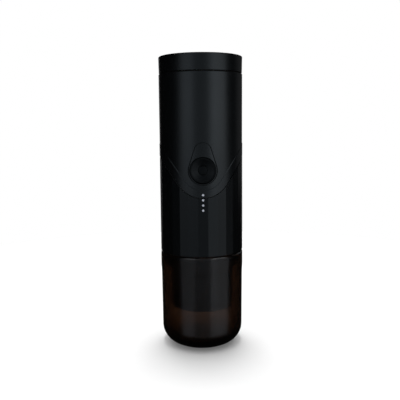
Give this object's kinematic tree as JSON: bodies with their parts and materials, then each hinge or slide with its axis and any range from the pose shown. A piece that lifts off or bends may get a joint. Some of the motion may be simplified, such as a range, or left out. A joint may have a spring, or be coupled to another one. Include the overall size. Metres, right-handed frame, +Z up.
{
  "type": "portable espresso machine",
  "caption": "Slim upright portable espresso machine: screw lid over a heated tank, pump and cells inside, push button in a teardrop plate, faceted grip and smoked pull-off cup.",
  "frame": {"origin": "centre of the cup's base, on the surface that the machine stands on", "axes": "+Z up along the axis of the round body, -Y out through the button, +Y out through the charging port"},
  "size_m": [0.0706, 0.0706, 0.2442],
  "materials": {
    "shell_black": "fine satin",
    "sleeve_black": "satin",
    "lid_black": "fine satin",
    "gloss_black": "polished",
    "smoke_clear": "clear smoked",
    "holder_black": "satin",
    "light_white": "clouded clear",
    "frame_grey": "moulded",
    "collar_black": "satin",
    "pump_white": "moulded",
    "steel": "brushed",
    "polished_steel": "polished",
    "yoke_steel": "zinc plated",
    "heater_metal": "cast",
    "brass": "machined",
    "copper": "enamelled wire",
    "black_rubber": "matt",
    "clear_silicone": "translucent",
    "board_green": "solder mask",
    "part_black": "moulded",
    "led_yellow": "phosphor",
    "cell_wrap": "shrink wrap",
    "wire_red": "insulation"
  },
  "bodies": {
    "cup": {"cup": "smoke_clear"},
    "housing": {"battery_cell_1": "cell_wrap", "battery_cell_2": "cell_wrap", "battery_cell_3": "cell_wrap", "board_screws": "steel", "brew_gasket": "clear_silicone", "brew_head": "part_black", "cell_links": "polished_steel", "charge_board": "board_green", "control_board": "board_green", "control_plate": "gloss_black", "cup_seal": "black_rubber", "frame_front": "frame_grey", "frame_rear": "frame_grey", "frame_screws": "steel", "grip_sleeve": "sleeve_black", "head_screws": "steel", "indicator_leds": "led_yellow", "light_guide": "light_white", "pressure_hose": "clear_silicone", "pump_block": "pump_white", "pump_bobbin": "pump_white", "pump_coil": "copper", "pump_inlet": "pump_white", "pump_mounts": "black_rubber", "pump_outlet": "brass", "pump_spring": "steel", "pump_tube": "brass", "pump_yoke": "yoke_steel", "shower_screen": "steel", "shower_screw": "steel", "suction_hose": "clear_silicone", "tact_switch": "part_black", "tank_collar": "collar_black", "tank_gasket": "clear_silicone", "tank_heater": "heater_metal", "tank_outlet": "brass", "temperature_probe": "steel", "thermal_cutout": "part_black", "upper_shell": "shell_black", "usb_socket": "polished_steel", "valve_spring": "steel", "water_tank": "steel", "wiring": "wire_red", "yoke_plate": "yoke_steel"},
    "lid_carrier": {"lid_gasket": "clear_silicone"},
    "lid": {"lid_cap": "lid_black", "lid_plug": "part_black"},
    "basket": {"filter_basket": "steel"},
    "holder": {"coffee_holder": "holder_black"},
    "button": {"button": "gloss_black", "switch_plunger": "pump_white"},
    "flap": {"port_flap": "black_rubber"},
    "plunger": {"pump_plunger": "steel"},
    "valve": {"valve_ball": "polished_steel"}
  },
  "joints": [
    {"name": "lift_off", "type": "slide", "parent": "cup", "child": "housing", "axis": [0, 0, 1], "range_m": [0, 0.07]},
    {"name": "lid_rise", "type": "slide", "parent": "housing", "child": "lid_carrier", "axis": [0, 0, 1], "range_m": [0, 0.016]},
    {"name": "lid_turn", "type": "hinge", "parent": "lid_carrier", "child": "lid", "pos_m": [0, 0, 0.2313], "axis": [0, 0, 1], "range_deg": [0, 360]},
    {"name": "holder_drop", "type": "slide", "parent": "housing", "child": "basket", "axis": [0, 0, -1], "range_m": [0, 0.016]},
    {"name": "holder_turn", "type": "hinge", "parent": "basket", "child": "holder", "pos_m": [0, 0, 0.0795], "axis": [0, 0, -1], "range_deg": [0, 360]},
    {"name": "button_press", "type": "slide", "parent": "housing", "child": "button", "axis": [0, 1, 0], "range_m": [0, 0.0008], "stiffness_N_per_m": 800, "springref_m": -0.0005},
    {"name": "flap_swing", "type": "hinge", "parent": "housing", "child": "flap", "pos_m": [0, 0.03446, 0.0922], "axis": [-1, 0, 0], "range_deg": [0, 95]},
    {"name": "plunger_stroke", "type": "slide", "parent": "housing", "child": "plunger", "axis": [0, 0, 1], "range_m": [0, 0.004], "stiffness_N_per_m": 800, "springref_m": -0.003, "deforming": ["pump_spring"]},
    {"name": "valve_lift", "type": "slide", "parent": "housing", "child": "valve", "axis": [0, 0, -1], "range_m": [0, 0.001], "stiffness_N_per_m": 200, "springref_m": -0.0005, "deforming": ["valve_spring"]}
  ],
  "couplings": [
    {"joint": "lid_turn", "follows": "lid_rise", "rad_per_m": 392.7},
    {"joint": "holder_turn", "follows": "holder_drop", "rad_per_m": 392.7}
  ]
}
